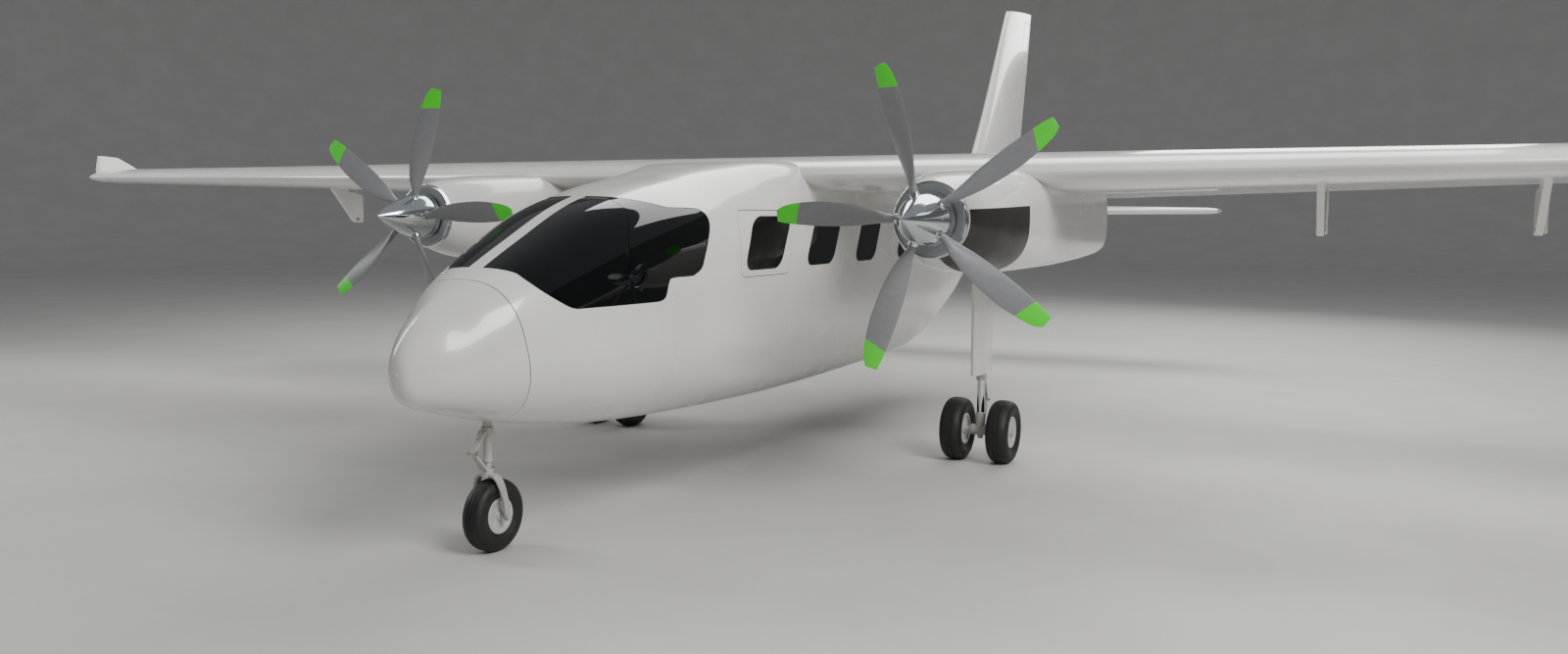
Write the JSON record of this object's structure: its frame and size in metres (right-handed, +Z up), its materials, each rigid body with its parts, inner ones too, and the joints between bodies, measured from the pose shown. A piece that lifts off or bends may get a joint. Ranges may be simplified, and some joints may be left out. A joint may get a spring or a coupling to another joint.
{
  "type": "turboprop airliner",
  "caption": "Small high-wing commuter airliner with twin nacelles, polished spinners, a raked glazed nose, winglets and fixed tricycle gear.",
  "frame": {"origin": "on the ground, below the centre of the bounding box", "axes": "+X to port, +Y aft, +Z up; the nose points to -Y"},
  "size_m": [14.9772, 10.815, 4.19],
  "materials": {
    "brushed_cowl": "brushed sheet",
    "dark_glass": "dark tinted acrylic, polished",
    "engine_casting": "plain casting",
    "gear_steel": "light grey enamel",
    "polished_spinner": "mirror-polished spun aluminium",
    "radome_enamel": "gloss white enamel over moulded composite",
    "satin_blade": "satin grey paint over composite, green tips",
    "tyre_rubber": "matt black",
    "wheel_alloy": "machined casting",
    "white_enamel": "gloss white enamel over aluminium skin"
  },
  "bodies": {
    "airframe": {"cowl_ring_port": "brushed_cowl", "cowl_ring_starboard": "brushed_cowl", "engine_port": "engine_casting", "engine_starboard": "engine_casting", "fin": "white_enamel", "flap_bracket_inner_port": "white_enamel", "flap_bracket_inner_starboard": "white_enamel", "flap_bracket_outer_port": "white_enamel", "flap_bracket_outer_starboard": "white_enamel", "fuselage_forward": "white_enamel", "fuselage_rear": "white_enamel", "main_leg_port": "white_enamel", "main_leg_starboard": "white_enamel", "main_strut_port": "gear_steel", "main_strut_starboard": "gear_steel", "nacelle_port": "white_enamel", "nacelle_starboard": "white_enamel", "nose_cone": "radome_enamel", "nose_leg": "gear_steel", "side_window_port": "dark_glass", "side_window_starboard": "dark_glass", "tailplane": "white_enamel", "windshield_port": "dark_glass", "windshield_starboard": "dark_glass", "wing_center": "white_enamel", "wing_port": "white_enamel", "wing_starboard": "white_enamel", "winglet_port": "white_enamel", "winglet_starboard": "white_enamel"},
    "cabin_door": {"cabin_door": "white_enamel"},
    "flap_port": {"flap_port": "white_enamel"},
    "flap_starboard": {"flap_starboard": "white_enamel"},
    "aileron_port": {"aileron_port": "white_enamel"},
    "aileron_starboard": {"aileron_starboard": "white_enamel"},
    "rudder": {"rudder": "white_enamel"},
    "elevator": {"elevator": "white_enamel"},
    "propeller_port": {"propeller_port": "satin_blade", "spinner_port": "polished_spinner"},
    "propeller_starboard": {"propeller_starboard": "satin_blade", "spinner_starboard": "polished_spinner"},
    "nose_steering": {"nose_fork": "gear_steel", "nose_links": "gear_steel"},
    "nose_wheel": {"nose_wheel": "wheel_alloy", "nose_axle": "gear_steel", "nose_tyre": "tyre_rubber"},
    "main_wheels_port": {"main_axle_port": "gear_steel", "wheel_inner_port": "wheel_alloy", "wheel_outer_port": "wheel_alloy", "tyre_inner_port": "tyre_rubber", "tyre_outer_port": "tyre_rubber"},
    "main_wheels_starboard": {"main_axle_starboard": "gear_steel", "wheel_inner_starboard": "wheel_alloy", "wheel_outer_starboard": "wheel_alloy", "tyre_inner_starboard": "tyre_rubber", "tyre_outer_starboard": "tyre_rubber"}
  },
  "joints": [
    {"name": "propeller_port_spin", "type": "hinge", "parent": "airframe", "child": "propeller_port", "pos_m": [1.805, -3.4225, 1.697], "axis": [0, 1, 0], "continuous": true},
    {"name": "propeller_starboard_spin", "type": "hinge", "parent": "airframe", "child": "propeller_starboard", "pos_m": [-1.805, -3.4225, 1.697], "axis": [0, 1, 0], "continuous": true},
    {"name": "nose_steering", "type": "hinge", "parent": "airframe", "child": "nose_steering", "pos_m": [0, -4.7975, 0.47], "axis": [0, 0, 1], "range_deg": [-30, 30]},
    {"name": "nose_wheel_spin", "type": "hinge", "parent": "nose_steering", "child": "nose_wheel", "pos_m": [0, -4.7625, 0.187], "axis": [1, 0, 0], "continuous": true},
    {"name": "main_wheels_port_spin", "type": "hinge", "parent": "airframe", "child": "main_wheels_port", "pos_m": [1.552, -1.4525, 0.219], "axis": [1, 0, 0], "continuous": true},
    {"name": "main_wheels_starboard_spin", "type": "hinge", "parent": "airframe", "child": "main_wheels_starboard", "pos_m": [-1.552, -1.4525, 0.219], "axis": [1, 0, 0], "continuous": true},
    {"name": "aileron_port_hinge", "type": "hinge", "parent": "airframe", "child": "aileron_port", "pos_m": [5.17, -1.07495, 2.00025], "axis": [0.9992, -0.035, 0.0215], "range_deg": [-20, 20]},
    {"name": "aileron_starboard_hinge", "type": "hinge", "parent": "airframe", "child": "aileron_starboard", "pos_m": [-5.17, -1.07495, 2.00025], "axis": [0.9992, 0.035, -0.0215], "range_deg": [-20, 20]},
    {"name": "flap_port_hinge", "type": "hinge", "parent": "airframe", "child": "flap_port", "pos_m": [3.65, -0.91573, 1.628], "axis": [0.9973, -0.0718, 0.0166], "range_deg": [-38, 0]},
    {"name": "flap_starboard_hinge", "type": "hinge", "parent": "airframe", "child": "flap_starboard", "pos_m": [-3.65, -0.91573, 1.628], "axis": [0.9973, 0.0718, -0.0166], "range_deg": [-38, 0]},
    {"name": "rudder_hinge", "type": "hinge", "parent": "airframe", "child": "rudder", "pos_m": [0, 4.3175, 1.96], "axis": [0, 0.3162, 0.9487], "range_deg": [-25, 25]},
    {"name": "elevator_hinge", "type": "hinge", "parent": "airframe", "child": "elevator", "pos_m": [0, 4.6575, 1.77], "axis": [1, 0, 0], "range_deg": [-15, 25]},
    {"name": "cabin_door_hinge", "type": "hinge", "parent": "airframe", "child": "cabin_door", "pos_m": [-0.642, -0.0705, 0.76], "axis": [0, 0, 1], "range_deg": [0, 100]}
  ],
  "couplings": [
    {"joint": "aileron_starboard_hinge", "follows": "aileron_port_hinge", "ratio": -1},
    {"joint": "flap_starboard_hinge", "follows": "flap_port_hinge", "ratio": 1}
  ]
}
